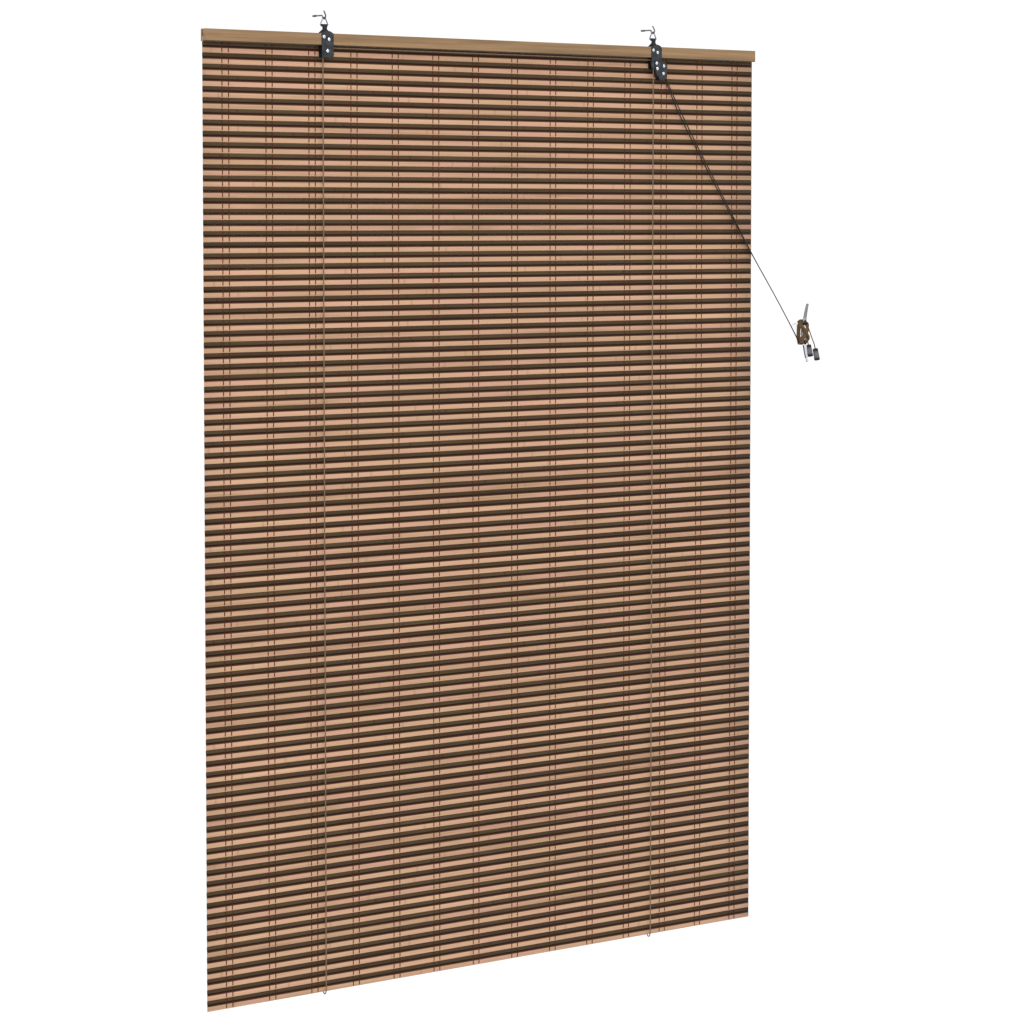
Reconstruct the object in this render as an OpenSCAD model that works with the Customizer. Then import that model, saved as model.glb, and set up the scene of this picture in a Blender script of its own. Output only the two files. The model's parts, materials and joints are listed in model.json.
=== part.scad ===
// Bamboo roll up blind on two screw hooks, with its cord lock, pull cords and wall cleat.
// Millimetres. X runs along the headrail, Y into the wall, Z up.
// The origin lies on the wall, midway between the two hook screws.

/* [Mat] */
// Length of the slats, which is the width of the blind
slat_len = 1200; // [900:10:1600]
// Drop of the mat below the headrail, made up of whole pairs of slats
mat_drop = 1580; // [600:10:2000]
// Height of a light slat
light_slat_h = 9.6; // [7:0.1:12]
// Height of a dark slat
dark_slat_h = 7.95; // [6:0.05:11]
// Slit between neighbouring slats
slat_slit = 0.2; // [0.1:0.05:0.6]
// Thickness of a slat at its crown
slat_t = 2; // [1.4:0.1:3]
// How far the long edges of a slat fall back from its crown
slat_edge_drop = 0.45; // [0.2:0.05:0.6]
// Number of warp thread pairs
thread_pairs = 14; // [6:1:20]
// Distance between the two threads of a pair
thread_gap = 12.6; // [6:0.1:20]
// Width of a warp thread
thread_w = 0.8; // [0.5:0.1:1.5]
// Thickness of a warp thread
thread_t = 0.6; // [0.4:0.05:1]

/* [Headrail] */
// Height of the headrail
rail_h = 20; // [16:0.5:30]
// Thickness of the batten that clamps the mat from behind
batten_t = 3; // [2:0.5:8]
// Chamfer on the long edges of lath and batten
rail_chamfer = 0.7; // [0.3:0.1:1.2]
// Number of nails that hold lath, mat and batten together
nail_count = 8; // [4:2:12]
// Radius of a nail
nail_r = 0.9; // [0.6:0.1:1.2]
// Radius of a nail head
nail_head_r = 2.2; // [1.5:0.1:3]
// Thickness of a nail head
nail_head_t = 0.8; // [0.5:0.1:1.2]
// Wood left in front of a nail's point
nail_cover = 3; // [1:0.5:5]

/* [Hooks and rings] */
// Distance between the two hook screws
hanger_spacing = 720; // [400:10:800]
// Distance from the wall to the bottom of the hook
hook_reach = 22; // [20:0.5:40]
// Radius of the hook wire
hook_wire_r = 1.3; // [1:0.1:1.6]
// Radius of the hook's screw
screw_r = 1.6; // [1.3:0.1:2]
// Length of the screw in the wall, with its point
screw_len = 12; // [10:1:40]
// Length of the screw's point
screw_point = 3; // [2:0.5:5]
// Radius of the bend that takes the hook down from the shank
hook_drop_r = 2.5; // [2:0.1:4]
// Radius of the hook's bowl, at the middle of the wire
hook_bowl_r = 4.5; // [4:0.1:6]
// Drop of the hook's bowl below its screw, at the middle of the wire
hook_drop = 5.8; // [3:0.1:6.5]
// Straight length at the hook's free end
hook_tip = 7; // [2:0.5:9]
// Radius of the ring wire
ring_wire_r = 1.1; // [0.8:0.1:1.3]
// Width of the ring, at the middle of the wire
ring_w = 15; // [14:0.5:20]
// Height of the ring, at the middle of the wire
ring_h = 13.2; // [11:0.1:20]
// Radius of the ring's crown, at the middle of the wire
ring_crown_r = 2.8; // [2.6:0.1:4]
// Radius of the ring's lower corners, at the middle of the wire
ring_corner_r = 1.4; // [1.2:0.1:1.8]

/* [Brackets] */
// Thickness of the sheet steel
sheet_t = 1; // [0.8:0.1:1.5]
// Width of the cheeks
cheek_w = 24; // [22:0.5:30]
// Depth of the cheeks below the top of the headrail
cheek_drop = 40; // [39:0.5:44]
// Rounding of the cheeks' lower corners
cheek_corner_r = 4; // [2:0.5:6]
// Rise of the ring's bar above the headrail
neck_rise = 13.4; // [12:0.1:20]
// Width of the neck
neck_w = 9; // [8:0.5:10]
// Width of the rolled eye at the top of the neck
eye_w = 11; // [10:0.5:11]
// Room in the rolled eye around the ring's bar
eye_room = 0.1; // [0.05:0.05:0.2]
// Slit where the rolled eye meets the neck
eye_slit = 0.5; // [0.3:0.1:0.8]
// Radius of the rivets
rivet_r = 1.5; // [1.2:0.1:1.8]
// Radius of the rivet heads
rivet_head_r = 2.8; // [2.2:0.1:3.2]
// Height of the rivet heads
rivet_head_h = 1.1; // [0.8:0.1:1.5]
// How far a rivet's tail widens in the hanger plate, where it is set flush
rivet_tail = 0.6; // [0.3:0.1:0.8]
// Outer radius of the distance tubes on the rivets
tube_r = 2.6; // [2.2:0.1:3]

/* [Sheaves] */
// Outer radius of a sheave
sheave_r = 7; // [6.5:0.1:7.2]
// Thickness of a sheave
sheave_t = 3.5; // [3.2:0.1:4]
// Depth of the cord groove
groove_depth = 2.8; // [2.6:0.1:3.2]
// Width of the groove at the rim
groove_w = 3; // [2.8:0.1:3]
// Room at each side of a sheave
sheave_room = 0.15; // [0.1:0.05:0.3]
// Depth of the sheave axle below the top of the headrail
axle_drop = 29; // [28:0.5:30]
// Running room of wheels and levers on their pins
pin_room = 0.08; // [0.04:0.02:0.1]

/* [Cord lock] */
// Radius of the ribbed roller that the cords run over
roller_r = 2.5; // [2:0.1:2.7]
// Number of ribs around the roller
roller_ribs = 12; // [8:1:16]
// Radius of the pins in the lock
lock_pin_r = 1.2; // [1:0.1:1.4]
// Radius of the locking dog's eye
dog_eye_r = 3; // [2.6:0.1:3.2]
// Depth of the teeth on the locking dog
dog_tooth = 0.6; // [0.3:0.1:0.9]

/* [Cleat and tassels] */
// Width of the cleat's post
cleat_w = 8; // [7:0.5:14]
// Height of the cleat's post
post_h = 28; // [24:1:32]
// Distance from the wall to the back of the horns
post_reach = 24; // [22:0.5:30]
// Thickness of the base flange
flange_t = 3; // [2:0.5:5]
// Overhang of the base flange round the post
flange_lip = 4; // [2:0.5:7]
// Length of the cleat over both horns
cleat_len = 109; // [90:1:130]
// How far the horn tips bend out from the wall
horn_bend = 10; // [6:0.5:12]
// Thickness of a horn at the post
horn_root_t = 5; // [4:0.5:7]
// Thickness of a horn at its tip
horn_tip_t = 3; // [2.5:0.5:5]
// Width of a horn at the post
horn_root_w = 6.4; // [6:0.1:8]
// Width of a horn at its tip
horn_tip_w = 4; // [3:0.1:6]
// Radius of the cleat's two screw holes
cleat_hole_r = 2.1; // [1.6:0.1:2.5]
// Distance between the cleat's screw holes
cleat_hole_gap = 14; // [10:0.5:16]
// Thickness of the wound cord around the post
winding_wall = 5.6; // [4:0.1:7]
// Depth of the wound cord along the post
winding_depth = 4.8; // [4:0.2:10]
// Thickness of the cords that cross in front of the horns
crossing_t = 6.4; // [4:0.2:9]
// Height of a tassel
tassel_h = 22; // [16:1:30]
// Radius of a tassel at its foot
tassel_r = 5.5; // [4.5:0.1:6]
// Radius of a tassel at its top
tassel_top_r = 5; // [4.4:0.1:6]
// Angle at which the tassels lean, as their cords do
tassel_lean = 14; // [0:1:20]

/* [Hidden] */
$fn = 48;

// Clearances that several pieces share
touch_room = 0.05;
soft_room = 0.3;

// Heights, down from the hook screws to the foot of the mat
ring_top_z = hook_wire_r + ring_wire_r + touch_room - hook_drop;
bar_z = ring_top_z - ring_h;
rail_top_z = bar_z - neck_rise;
rail_foot_z = rail_top_z - rail_h;
pair_pitch = light_slat_h + dark_slat_h + 2 * slat_slit;
slat_pairs = round(mat_drop / pair_pitch);
mat_foot_z = rail_foot_z - slat_pairs * pair_pitch;
mat_head_z = rail_foot_z + light_slat_h;
thread_len = mat_head_z - mat_foot_z;

// Depths, from the ring plane on the hooks back to the batten
eye_r = ring_wire_r + eye_room;
plate_y = -hook_reach - eye_r - sheet_t;
mat_y = plate_y + sheet_t;
thread_stand = thread_t / 2;
light_y = mat_y + thread_stand;
dark_y = mat_y + thread_t;
batten_y = dark_y + slat_t + thread_stand;
batten_back_y = batten_y + batten_t;

// Sheave housing, forward of the hanger plate; the lath fills it above the sheaves
housing_gap = 2 * sheave_t + 3 * sheave_room;
lath_y = plate_y - housing_gap;
cheek_y = lath_y - sheet_t;
sheave_back_y = plate_y - sheave_room - sheave_t / 2;
sheave_front_y = sheave_back_y - sheave_room - sheave_t;
axle_z = rail_top_z - axle_drop;
left_x = -hanger_spacing / 2;
right_x = hanger_spacing / 2;

// Rivet places on a cheek, as x from its middle and drop below the headrail's top
rail_rivet_places = [[-7, -6], [3, -10]];
axle_place = [0, -axle_drop];
tie_place = [1.5, -38.5];
dog_place = [17, -33.5];
roller_place = [16, -47];
shoulder_drop = 6;
shoulder_top = 7;
cheek_top = 4;
arch_rise = 5;
eye_flare_h = 4;

// Lock frame, in front of the front cheek; the hanger plate is its back
lock_front_y = cheek_y - sheet_t;
lock_outline = [
  [-5, -25], [7, -25], [21, -28], [24, -31], [24, -46], [18, -59], [8, -59], [-3, -46]
];
dog_outline = [
  [14.6, -35], [19.5, -43.1], [20.4, -44.1], [22.6, -45.6], [23.8, -44], [21.8, -38], [19.6, -34]
];
dog_edge_from = [15.8, -37];
dog_edge_to = [19.5, -43.1];
dog_teeth = 5;
roller_rib_depth = 0.25;

// Cleat, on the wall beyond the right edge of the mat
cleat_x = 731;
cleat_z = -548;
horn_z = cleat_len / 2;
winding_back_y = -post_reach + soft_room + winding_depth;
crossing_back_y = -post_reach - horn_root_t - 2 * soft_room;
crossing_foot_r = 12;
crossing_front_r = 9;
tassel_cup = 3;

// Facets round a wire, where the wire starts in the screw, and half the joint in a ring's bar
wire_sides = 14;
screw_root = 2;
ring_butt = 0.15;

// Cord radius, and the routes of the cords as points on their middle line
cord_r = 1;
cord_sides = 8;
left_lift_route = [
  [-365.5, -16, -40], [-365.5, -16, -54], [-365.5, -18, -1600], [-365.5, -18, -1626],
  [-365.5, -18.6, -1630], [-365.5, -20.2, -1633], [-365.5, -22.4, -1634],
  [-365.5, -24.6, -1633], [-365.5, -26.2, -1630], [-365.5, -27, -1626], [-365.5, -27.2, -1600],
  [-365.5, -26.1, -90], [-365.5, -26.1, -59], [-365.1, -26.1, -56.9], [-363.9, -26.1, -55.1],
  [-362.1, -26.1, -53.9], [-360, -26.1, -53.5], [-350, -26.1, -53.5], [350, -26.1, -53.5],
  [360, -26.1, -53.5], [362.1, -26.1, -53.9], [363.6, -26.1, -54.9], [364.4, -26.1, -55.7],
  [372, -26.1, -65.7], [378.9, -26.1, -74.8], [379.4, -26.1, -75.6], [384, -26.1, -84]
];
right_lift_route = [
  [354.5, -16, -40], [354.5, -16, -54], [354.5, -18, -1600], [354.5, -18, -1626],
  [354.5, -18.6, -1630], [354.5, -20.2, -1633], [354.5, -22.4, -1634],
  [354.5, -24.6, -1633], [354.5, -26.2, -1630], [354.5, -27, -1626], [354.5, -27.2, -1600],
  [354.5, -29.7, -90], [354.5, -29.7, -59], [354.9, -29.7, -56.9], [356.1, -29.7, -55.1],
  [357.9, -29.7, -53.9], [360, -29.7, -53.5], [362.1, -29.7, -53.9], [363.6, -29.7, -54.9],
  [364.4, -29.7, -55.7], [372, -29.7, -65.7], [378.9, -29.7, -74.8], [379.4, -29.7, -75.6],
  [384, -29.7, -84]
];
left_pull_route = [
  [384, -26.1, -84], [389.5, -26.1, -94], [404, -26, -121], [418, -25.9, -146.5],
  [470, -25.6, -222], [530, -25.3, -306], [599, -24.9, -400.5], [658, -22.8, -475],
  [701, -21, -532.5], [714.6, -20.5, -551.8], [720.2, -20.4, -560.8]
];
right_pull_route = [
  [384, -29.7, -84], [389.5, -29.7, -94], [406, -29.5, -121.5], [422, -29.3, -147],
  [470, -28.7, -218], [530, -28, -303], [597, -27, -400.5], [656, -25, -475],
  [699, -23.2, -532.5], [713, -22.7, -551.8], [720.4, -22.6, -562.2]
];
left_tail_route = [
  [740, -20.4, -531.6], [742.8, -20.5, -534.6], [745, -20.8, -541], [745.2, -21.2, -548.5],
  [744.8, -21.6, -556], [745.2, -21.9, -564], [746.2, -22, -569], [747.5, -22, -574.2]
];
right_tail_route = [
  [740, -22.6, -531.6], [743, -22.8, -534.6], [746, -23.4, -540.6], [749, -24.2, -548.4],
  [753, -25.4, -559.5], [757, -26.8, -569], [758.7, -27, -574.9], [760.3, -27, -581.3]
];
staple_r = 0.5;
staple_half = 2.4;
staple_rise = 6;
staple_z = rail_foot_z + staple_rise;
staple_grip = batten_t - 0.6;

wood_tan = [0.60, 0.48, 0.34];
slat_tan = [0.80, 0.65, 0.50];
slat_brown = [0.33, 0.25, 0.19];
thread_brown = [0.25, 0.17, 0.12];
cord_beige = [0.59, 0.45, 0.33];
steel_dark = [0.27, 0.28, 0.30];
steel_bright = [0.72, 0.72, 0.72];
black_plastic = [0.08, 0.08, 0.08];
clear_plastic = [0.85, 0.88, 0.88, 0.6];

// A cylinder along Y from y0 to y1
module along_y(y0, y1, r) {
  translate([0, y1, 0]) rotate([90, 0, 0]) cylinder(h = y1 - y0, r = r);
}

// A flat outline in x and z, made t thick from y_front towards the wall
module sheet_xz(y_front, t) {
  translate([0, y_front + t, 0]) rotate([90, 0, 0]) linear_extrude(t) children();
}

// A section in y and z, drawn out along X about the middle
module drawn_x(len) {
  translate([-len / 2, 0, 0]) rotate([90, 0, 90]) linear_extrude(len) children();
}

// A round bar between two points
module bar(a, b, r) {
  d = b - a;
  translate(a) rotate([0, acos(d.z / norm(d)), atan2(d.y, d.x)]) cylinder(h = norm(d), r = r);
}

// Places children at a spot on a cheek, given as x and drop below the headrail's top
module at_cheek(x, spot) {
  translate([x + spot.x, 0, rail_top_z + spot.y]) children();
}

// A rivet along Y, with its head at y_front and its tail set flush into the hanger plate
module rivet(y_front, r) {
  along_y(y_front, plate_y, r);
  translate([0, y_front, 0]) rotate([90, 0, 0]) rivet_head();
  translate([0, plate_y, 0]) rotate([-90, 0, 0]) cylinder(h = sheet_t, r1 = r, r2 = r + rivet_tail);
}

// Domed head, a cap of a sphere
module rivet_head() {
  dome_r = (rivet_head_r * rivet_head_r + rivet_head_h * rivet_head_h) / (2 * rivet_head_h);
  rotate_extrude() intersection() {
    square([rivet_head_r, rivet_head_h]);
    translate([0, rivet_head_h - dome_r]) circle(dome_r, $fn = 96);
  }
}

// A tube along Y
module tube_y(y0, y1, r_out, r_in) {
  difference() {
    along_y(y0, y1, r_out);
    along_y(y0 - 1, y1 + 1, r_in);
  }
}

// Unit vectors and frames for the cord sweep
function unit(v) = v / norm(v);
function heading(p, i) = unit(p[min(i + 1, len(p) - 1)] - p[max(i - 1, 0)]);
function square_to(v, t) = unit(v - (v * t) * t);
function side_vectors(p, i, last) =
  i == len(p) ? [] :
  let (n = square_to(last, heading(p, i))) concat([n], side_vectors(p, i + 1, n));

// A round cord or wire along the points p, with a radius at each point
module sweep(p, radii, sides) {
  n = len(p);
  side = side_vectors(p, 0, [1, 0.3, 0.2]);
  points = [
    for (i = [0 : n - 1])
      let (t = heading(p, i), b = cross(t, side[i]))
        for (k = [0 : sides - 1])
          let (a = 360 * k / sides) p[i] + radii[i] * (cos(a) * side[i] + sin(a) * b)
  ];
  walls = [
    for (i = [0 : n - 2], k = [0 : sides - 1])
      let (m = (k + 1) % sides, low = i * sides, high = low + sides)
        [low + k, high + k, high + m, low + m]
  ];
  head = [for (k = [0 : sides - 1]) k];
  foot = [for (k = [0 : sides - 1]) n * sides - 1 - k];
  polyhedron(points, concat([head], walls, [foot]));
}
module cord(p) {
  sweep(p, [for (q = p) cord_r], cord_sides);
}

// Points on an arc in a plane, from angle a over span, in n steps
function arc(middle, r, a, span, n) =
  [for (i = [0 : n]) middle + r * [cos(a + span * i / n), sin(a + span * i / n)]];

// Section of a lath with chamfered edges, from y0 to y1 and over the headrail's height
module lath_section(y0, y1) {
  c = rail_chamfer;
  polygon([
    [y0 + c, rail_foot_z], [y0, rail_foot_z + c], [y0, rail_top_z - c], [y0 + c, rail_top_z],
    [y1 - c, rail_top_z], [y1, rail_top_z - c], [y1, rail_foot_z + c], [y1 - c, rail_foot_z]
  ]);
}

nail_z = rail_foot_z + light_slat_h / 2;
nail_point_y = lath_y + nail_cover;
module at_nails() {
  for (i = [0 : nail_count - 1]) {
    translate([slat_len * ((i + 0.5) / nail_count - 0.5), 0, nail_z]) children();
  }
}

// Lath with holes for the rivets' tubes and a shallow recess behind each bracket for its hanger plate
module headrail() {
  recess_w = cheek_w + 2 * touch_room;
  color(wood_tan) difference() {
    drawn_x(slat_len) lath_section(lath_y, mat_y);
    for (x = [left_x, right_x]) {
      translate([x - recess_w / 2, plate_y, rail_foot_z - 1]) cube([recess_w, 2 * sheet_t, rail_h + 2]);
      for (spot = rail_rivet_places) {
        at_cheek(x, spot) along_y(lath_y - 1, mat_y + 1, tube_r + touch_room);
      }
    }
    at_nails() along_y(nail_point_y, mat_y + 1, nail_r + touch_room);
  }
}

module clamp_batten() {
  color(wood_tan) difference() {
    drawn_x(slat_len) lath_section(batten_y, batten_back_y);
    at_nails() along_y(batten_y - 1, batten_back_y + 1, nail_r + touch_room);
    at_staples() staple_legs(staple_r + touch_room);
  }
}

module rail_nails() {
  color(steel_bright) at_nails() {
    along_y(nail_point_y + touch_room, batten_back_y, nail_r);
    along_y(batten_back_y, batten_back_y + nail_head_t, nail_head_r);
  }
}

// Crowned section of one slat, with its crown at y0 and its foot at z0
module slat_section(y0, z0, h) {
  e = slat_edge_drop;
  y1 = y0 + slat_t;
  polygon([
    [y0 + e, z0], [y0, z0 + h / 4], [y0, z0 + h * 3 / 4], [y0 + e, z0 + h],
    [y1 - e, z0 + h], [y1, z0 + h * 3 / 4], [y1, z0 + h / 4], [y1 - e, z0]
  ]);
}

// Middle of thread k, counted from the left edge; each pair straddles its station
function thread_x(k) =
  slat_len * ((floor(k / 2) + 0.5) / thread_pairs - 0.5) + (k % 2 - 0.5) * thread_gap;
last_thread = 2 * thread_pairs - 1;
module thread(k, y0) {
  translate([thread_x(k) - thread_w / 2, y0, mat_foot_z]) cube([thread_w, thread_t, thread_len]);
}

// The light slats with the first and last front thread, which tie them together
module light_slats() {
  color(slat_tan) difference() {
    union() {
      for (i = [0 : slat_pairs]) {
        z0 = mat_foot_z + i * pair_pitch;
        drawn_x(slat_len) slat_section(light_y, z0, light_slat_h);
      }
      for (k = [0, last_thread]) {
        thread(k, mat_y);
      }
    }
    at_nails() along_y(mat_y - 1, batten_y + 1, nail_r + touch_room);
  }
}

// The dark slats with the first and last back thread, which tie them together
module dark_slats() {
  color(slat_brown) {
    for (i = [0 : slat_pairs - 1]) {
      z0 = mat_foot_z + i * pair_pitch + light_slat_h + slat_slit;
      drawn_x(slat_len) slat_section(dark_y, z0, dark_slat_h);
    }
    for (k = [0, last_thread]) {
      thread(k, batten_y - thread_t);
    }
  }
}

// The other threads, in front of the mat and behind it
module warp_threads() {
  stand = thread_t - thread_stand;
  color(thread_brown) for (k = [1 : last_thread - 1]) {
    translate([thread_x(k) - thread_w / 2, mat_y, mat_foot_z]) cube([thread_w, stand, thread_len]);
    translate([thread_x(k) - thread_w / 2, batten_y - stand, mat_foot_z])
      cube([thread_w, stand, thread_len]);
  }
}

// Screw hook in the Y Z plane: screw, shank, drop, bowl and a tip that leans back
hook_drop_angle = acos(1 - hook_drop / (hook_drop_r + hook_bowl_r));
hook_tip_angle = 125;
module screw_hook(x) {
  bowl = [-hook_reach, hook_bowl_r - hook_drop];
  drop_y = -hook_reach + (hook_bowl_r + hook_drop_r) * sin(hook_drop_angle);
  lean = hook_tip_angle - 90;
  bends = concat(
    [[screw_root, 0]],
    arc([drop_y, -hook_drop_r], hook_drop_r, 90, hook_drop_angle, 5),
    arc(bowl, hook_bowl_r, hook_drop_angle - 90, -hook_drop_angle - hook_tip_angle, 14)
  );
  last = bends[len(bends) - 1];
  up = [sin(lean), cos(lean)];
  round_end = hook_wire_r * 0.3;
  path = concat(bends, [last + hook_tip * up, last + (hook_tip + round_end) * up]);
  color(steel_bright) translate([x, 0, 0]) {
    sweep(
      [for (q = path) [0, q.x, q.y]],
      concat([for (i = [0 : len(path) - 2]) hook_wire_r], [hook_wire_r * 0.6]),
      wire_sides
    );
    along_y(0, screw_len - screw_point, screw_r);
    translate([0, screw_len - screw_point, 0]) rotate([-90, 0, 0])
      cylinder(h = screw_point, r1 = screw_r, r2 = screw_r / 4);
  }
}

module left_screw_hook() {
  screw_hook(left_x);
}
module right_screw_hook() {
  screw_hook(right_x);
}

// Bell shaped wire ring: bar in the eye, two corners, two legs and a crown on the hook.
// The ends of its wire meet at the middle of the bar, inside the eye.
module ring(x) {
  crown = [0, ring_top_z - ring_crown_r];
  corner = [ring_w / 2 - ring_corner_r, bar_z + ring_corner_r];
  rise = crown - corner;
  lean = atan2(-rise.x, rise.y) + asin((ring_corner_r - ring_crown_r) / norm(rise));
  bends = concat(
    [[ring_butt, bar_z]],
    arc(corner, ring_corner_r, -90, 90 + lean, 6),
    arc(crown, ring_crown_r, lean, 180 - 2 * lean, 8),
    arc([-corner.x, corner.y], ring_corner_r, 180 - lean, 90 + lean, 6),
    [[-ring_butt, bar_z]]
  );
  color(steel_bright) translate([x, -hook_reach, 0])
    sweep([for (q = bends) [q.x, 0, q.y]], [for (q = bends) ring_wire_r], wire_sides);
}

module left_ring() {
  ring(left_x);
}
module right_ring() {
  ring(right_x);
}

// Lower part of a cheek outline, from z_top down, with round lower corners
module cheek_body(z_top) {
  r = cheek_corner_r;
  translate([-cheek_w / 2, -cheek_drop + r]) square([cheek_w, z_top + cheek_drop - r]);
  translate([-cheek_w / 2 + r, -cheek_drop]) square([cheek_w - 2 * r, r]);
  for (s = [-1, 1]) {
    translate([s * (cheek_w / 2 - r), -cheek_drop + r]) circle(r);
  }
}

// Sloping shoulders of the hanger plate, from the neck at z_top down to the full width
module shoulders(z_top) {
  z_low = z_top - shoulder_drop;
  side = cheek_w / 2;
  neck = neck_w / 2;
  polygon([
    [-neck, z_top], [neck, z_top], [side, z_low], [side, z_low - 1], [-side, z_low - 1], [-side, z_low]
  ]);
}

// Arched top of a front cheek
module arch(z_top) {
  r = bow_r(cheek_w / 2, arch_rise);
  intersection() {
    translate([0, z_top - r]) circle(r, $fn = 96);
    translate([-cheek_w / 2, z_top - arch_rise - 1]) square([cheek_w, arch_rise + 1]);
  }
}

// Rivet holes of one cheek, through everything between y0 and y1
module cheek_holes(x, y0, y1, spots) {
  for (spot = spots) {
    at_cheek(x, spot) along_y(y0, y1, rivet_r + touch_room);
  }
}

// Holes in the hanger plate that widen to its back, for the tails of rivets of radius r
module tail_holes(x, spots, r) {
  over = 0.2;
  for (spot = spots) {
    at_cheek(x, spot) translate([0, plate_y - over * sheet_t, 0]) rotate([-90, 0, 0]) cylinder(
      h = sheet_t * (1 + 2 * over),
      r1 = r + touch_room - over * rivet_tail,
      r2 = r + touch_room + (1 + over) * rivet_tail
    );
  }
}

// Plate behind the lath and the sheaves, with shoulders, a neck and a rolled eye for the ring's bar.
// Children are outlines that widen the plate.
module hanger_plate(x, spots) {
  flare_foot = neck_rise - eye_flare_h;
  color(steel_dark) difference() {
    union() {
      translate([x, 0, rail_top_z]) sheet_xz(plate_y, sheet_t) {
        cheek_body(shoulder_top - shoulder_drop);
        shoulders(shoulder_top);
        translate([-neck_w / 2, shoulder_top - 1]) square([neck_w, flare_foot - shoulder_top + 1]);
        polygon([
          [-neck_w / 2, flare_foot], [neck_w / 2, flare_foot],
          [eye_w / 2, neck_rise], [-eye_w / 2, neck_rise]
        ]);
        children();
      }
      translate([x - eye_w / 2, -hook_reach, bar_z]) rotate([0, 90, 0])
        cylinder(h = eye_w, r = eye_r + sheet_t);
    }
    translate([x - eye_w, -hook_reach, bar_z]) rotate([0, 90, 0]) cylinder(h = 2 * eye_w, r = eye_r);
    translate([x - eye_w, plate_y + sheet_t, bar_z - eye_r - 2 * sheet_t])
      cube([2 * eye_w, eye_slit, eye_r + 2 * sheet_t]);
    tail_holes(x, spots, rivet_r);
  }
}

// Plate in front of the lath and the sheaves
module front_cheek(x, spots) {
  color(steel_dark) difference() {
    union() {
      translate([x, 0, rail_top_z]) sheet_xz(cheek_y, sheet_t) cheek_body(cheek_top - arch_rise);
      translate([x, 0, rail_top_z]) sheet_xz(cheek_y, sheet_t) arch(cheek_top);
    }
    cheek_holes(x, cheek_y - 1, cheek_y + sheet_t + 1, spots);
  }
}

left_spots = concat(rail_rivet_places, [axle_place]);
right_spots = concat(left_spots, [tie_place]);
module left_hanger_plate() {
  hanger_plate(left_x, left_spots);
}
// The right plate is also the back of the cord lock
module right_hanger_plate() {
  difference() {
    hanger_plate(right_x, right_spots) polygon(lock_outline);
    tail_holes(right_x, [dog_place, roller_place], lock_pin_r);
  }
}
module left_front_cheek() {
  front_cheek(left_x, left_spots);
}
module right_front_cheek() {
  front_cheek(right_x, right_spots);
}

// The two rivets that hold a bracket on the lath, and their distance tubes inside it
module rail_rivets(x) {
  color(steel_bright) for (spot = rail_rivet_places) {
    at_cheek(x, spot) rivet(cheek_y, rivet_r);
  }
}
module rivet_tubes(x) {
  color(steel_dark) for (spot = rail_rivet_places) {
    at_cheek(x, spot) tube_y(cheek_y + sheet_t, plate_y, tube_r, rivet_r + touch_room);
  }
}
module left_rail_rivets() {
  rail_rivets(left_x);
}
module right_rail_rivets() {
  rail_rivets(right_x);
}
module left_rivet_tubes() {
  rivet_tubes(left_x);
}
module right_rivet_tubes() {
  rivet_tubes(right_x);
}

// Grooved wheel on an axle along Y, about the origin
module sheave() {
  rim = sheave_t / 2;
  groove = groove_w / 2;
  bed = groove - 0.5;
  bore = rivet_r + pin_room;
  rotate([90, 0, 0]) rotate_extrude() polygon([
    [bore, -rim], [sheave_r, -rim], [sheave_r, -groove], [sheave_r - groove_depth, -bed],
    [sheave_r - groove_depth, bed], [sheave_r, groove], [sheave_r, rim], [bore, rim]
  ]);
}

module left_sheave() {
  color(steel_bright) translate([left_x, sheave_back_y, axle_z]) sheave();
}
module right_sheave_back() {
  color(steel_bright) translate([right_x, sheave_back_y, axle_z]) sheave();
}
module right_sheave_front() {
  color(steel_bright) translate([right_x, sheave_front_y, axle_z]) sheave();
}
module left_axle() {
  color(steel_bright) translate([left_x, 0, axle_z]) rivet(cheek_y, rivet_r);
}
// The right axle also holds the lock frame on the front cheek
module right_axle() {
  color(steel_bright) translate([right_x, 0, axle_z]) rivet(lock_front_y, rivet_r);
}
// Distance tube that takes the place of the second sheave
module left_axle_tube() {
  color(steel_dark) translate([left_x, 0, axle_z])
    tube_y(cheek_y + sheet_t, sheave_back_y - sheave_t / 2 - sheave_room, tube_r, rivet_r + touch_room);
}

// Folded frame of the cord lock: a plate on the front cheek and a sloping web back to the hanger plate
module lock_frame() {
  foot = lock_outline[len(lock_outline) - 2];
  heel = lock_outline[len(lock_outline) - 1];
  inward = unit([heel.y - foot.y, foot.x - heel.x]) * sheet_t;
  color(steel_dark) difference() {
    translate([right_x, 0, rail_top_z]) {
      sheet_xz(lock_front_y, sheet_t) polygon(lock_outline);
      sheet_xz(lock_front_y, plate_y - lock_front_y) polygon([heel, foot, foot + inward, heel + inward]);
    }
    cheek_holes(right_x, lock_front_y - 1, lock_front_y + sheet_t + 1, [axle_place, tie_place]);
    for (spot = [dog_place, roller_place]) {
      at_cheek(right_x, spot)
        along_y(lock_front_y - 1, lock_front_y + sheet_t + 1, lock_pin_r + touch_room);
    }
  }
}

module lock_tie_rivet() {
  color(steel_bright) at_cheek(right_x, tie_place) rivet(lock_front_y, rivet_r);
}
module lock_tie_tube() {
  tie_tube_r = 2.1;
  color(steel_dark) at_cheek(right_x, tie_place)
    tube_y(cheek_y + sheet_t, plate_y, tie_tube_r, rivet_r + touch_room);
}
module lock_roller_pin() {
  color(steel_bright) at_cheek(right_x, roller_place) rivet(lock_front_y, lock_pin_r);
}
module lock_dog_pin() {
  color(steel_bright) at_cheek(right_x, dog_place) rivet(lock_front_y, lock_pin_r);
}

// Room between the frame and the hanger plate for the roller and the dog
lock_in_front = lock_front_y + sheet_t + sheave_room;
lock_in_back = plate_y - sheave_room;
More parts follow.
